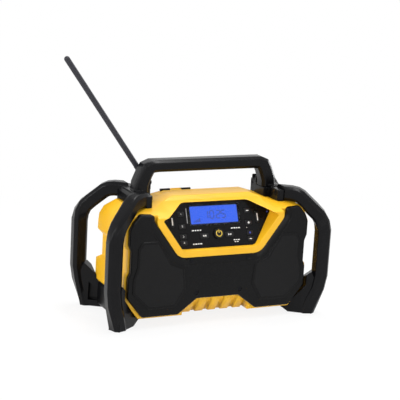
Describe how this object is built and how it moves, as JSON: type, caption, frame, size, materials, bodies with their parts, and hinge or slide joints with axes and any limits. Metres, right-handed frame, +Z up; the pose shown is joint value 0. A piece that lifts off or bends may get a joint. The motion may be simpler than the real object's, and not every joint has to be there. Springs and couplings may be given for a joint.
{
  "type": "jobsite radio",
  "caption": "Rugged jobsite radio with a leaning control panel, wide grille, corner roll bars, carrying handle and folding aerial.",
  "frame": {"origin": "on the ground, at the middle of the four feet", "axes": "+X to the right seen from the front, -Y out of the front, +Z up"},
  "size_m": [0.4592, 0.191, 0.4414],
  "materials": {
    "yellow_housing": "satin moulded",
    "black_cage": "satin, fine grain",
    "black_grille": "matt with fine perforations",
    "black_panel": "smooth gloss",
    "display_glass": "glossy, backlit blue",
    "display_module": "backlit blue",
    "circuit_board": "green laminate",
    "key_rubber": "matt",
    "power_button": "satin with a yellow ring",
    "speaker_steel": "stamped",
    "speaker_paper": "coated paper and rubber surround",
    "magnet": "ferrite",
    "power_supply": "laminated core in a frame",
    "black_moulding": "plain",
    "brass_blades": "plain",
    "zinc_steel": "zinc plated",
    "foot_rubber": "matt",
    "aerial_rubber": "satin sleeve"
  },
  "bodies": {
    "chassis": {"front_housing": "yellow_housing", "rear_housing": "yellow_housing", "speaker_grille": "black_grille", "panel_plate": "black_panel", "display_glass": "display_glass", "display_module": "display_module", "control_board": "circuit_board", "main_board": "circuit_board", "left_speaker_frame": "speaker_steel", "left_speaker_cone": "speaker_paper", "left_speaker_magnet": "magnet", "right_speaker_frame": "speaker_steel", "right_speaker_cone": "speaker_paper", "right_speaker_magnet": "magnet", "power_supply": "power_supply", "battery_dock": "black_moulding", "socket_tray": "black_moulding", "aux_socket": "black_moulding", "power_inlet": "black_moulding", "aerial_base": "black_moulding", "aerial_clip": "black_moulding", "battery_terminals": "brass_blades", "usb_socket": "zinc_steel", "door_hinge_pin": "zinc_steel", "aerial_pin": "zinc_steel", "grille_screws": "zinc_steel", "housing_screws": "zinc_steel", "cage_screws": "zinc_steel", "handle_screws": "zinc_steel", "left_side_beam": "black_cage", "right_side_beam": "black_cage", "carry_handle": "black_cage", "left_lower_rail": "black_cage", "right_lower_rail": "black_cage", "front_left_bar": "black_cage", "front_right_bar": "black_cage", "rear_left_bar": "black_cage", "rear_right_bar": "black_cage", "front_left_foot": "foot_rubber", "front_right_foot": "foot_rubber", "rear_left_foot": "foot_rubber", "rear_right_foot": "foot_rubber"},
    "power_button_body": {"power_button": "power_button"},
    "aerial": {"aerial_mast": "aerial_rubber"},
    "socket_door_body": {"socket_door": "black_moulding"},
    "track_back_key_body": {"track_back_key": "key_rubber"},
    "track_next_key_body": {"track_next_key": "key_rubber"},
    "left_key_1_body": {"left_key_1": "key_rubber"},
    "left_key_2_body": {"left_key_2": "key_rubber"},
    "left_key_3_body": {"left_key_3": "key_rubber"},
    "left_key_4_body": {"left_key_4": "key_rubber"},
    "right_key_1_body": {"right_key_1": "key_rubber"},
    "right_key_2_body": {"right_key_2": "key_rubber"},
    "right_key_3_body": {"right_key_3": "key_rubber"},
    "right_key_4_body": {"right_key_4": "key_rubber"},
    "left_rocker_key_body": {"left_rocker_key": "key_rubber"},
    "right_rocker_key_body": {"right_rocker_key": "key_rubber"}
  },
  "joints": [
    {"name": "power_button_press", "type": "slide", "parent": "chassis", "child": "power_button_body", "axis": [0, 0.9121, -0.4099], "range_m": [0, 0.0008], "stiffness_N_per_m": 1500, "springref_m": -0.0004},
    {"name": "track_back_key_press", "type": "slide", "parent": "chassis", "child": "track_back_key_body", "axis": [0, 0.9121, -0.4099], "range_m": [0, 0.0008], "stiffness_N_per_m": 1500, "springref_m": -0.0004},
    {"name": "track_next_key_press", "type": "slide", "parent": "chassis", "child": "track_next_key_body", "axis": [0, 0.9121, -0.4099], "range_m": [0, 0.0008], "stiffness_N_per_m": 1500, "springref_m": -0.0004},
    {"name": "left_key_1_press", "type": "slide", "parent": "chassis", "child": "left_key_1_body", "axis": [0, 0.9121, -0.4099], "range_m": [0, 0.0008], "stiffness_N_per_m": 1500, "springref_m": -0.0004},
    {"name": "left_key_2_press", "type": "slide", "parent": "chassis", "child": "left_key_2_body", "axis": [0, 0.9121, -0.4099], "range_m": [0, 0.0008], "stiffness_N_per_m": 1500, "springref_m": -0.0004},
    {"name": "left_key_3_press", "type": "slide", "parent": "chassis", "child": "left_key_3_body", "axis": [0, 0.9121, -0.4099], "range_m": [0, 0.0008], "stiffness_N_per_m": 1500, "springref_m": -0.0004},
    {"name": "left_key_4_press", "type": "slide", "parent": "chassis", "child": "left_key_4_body", "axis": [0, 0.9121, -0.4099], "range_m": [0, 0.0008], "stiffness_N_per_m": 1500, "springref_m": -0.0004},
    {"name": "right_key_1_press", "type": "slide", "parent": "chassis", "child": "right_key_1_body", "axis": [0, 0.9121, -0.4099], "range_m": [0, 0.0008], "stiffness_N_per_m": 1500, "springref_m": -0.0004},
    {"name": "right_key_2_press", "type": "slide", "parent": "chassis", "child": "right_key_2_body", "axis": [0, 0.9121, -0.4099], "range_m": [0, 0.0008], "stiffness_N_per_m": 1500, "springref_m": -0.0004},
    {"name": "right_key_3_press", "type": "slide", "parent": "chassis", "child": "right_key_3_body", "axis": [0, 0.9121, -0.4099], "range_m": [0, 0.0008], "stiffness_N_per_m": 1500, "springref_m": -0.0004},
    {"name": "right_key_4_press", "type": "slide", "parent": "chassis", "child": "right_key_4_body", "axis": [0, 0.9121, -0.4099], "range_m": [0, 0.0008], "stiffness_N_per_m": 1500, "springref_m": -0.0004},
    {"name": "left_rocker_key_press", "type": "slide", "parent": "chassis", "child": "left_rocker_key_body", "axis": [0, 0.9121, -0.4099], "range_m": [0, 0.0008], "stiffness_N_per_m": 1500, "springref_m": -0.0004},
    {"name": "right_rocker_key_press", "type": "slide", "parent": "chassis", "child": "right_rocker_key_body", "axis": [0, 0.9121, -0.4099], "range_m": [0, 0.0008], "stiffness_N_per_m": 1500, "springref_m": -0.0004},
    {"name": "aerial_fold", "type": "hinge", "parent": "chassis", "child": "aerial", "pos_m": [-0.098, 0.0225, 0.2275], "axis": [0, 1, 0], "range_deg": [-10, 125.6]},
    {"name": "socket_door_hinge", "type": "hinge", "parent": "chassis", "child": "socket_door_body", "pos_m": [-0.048, 0.01398, 0.21357], "axis": [1, 0, 0], "range_deg": [0, 70]}
  ]
}
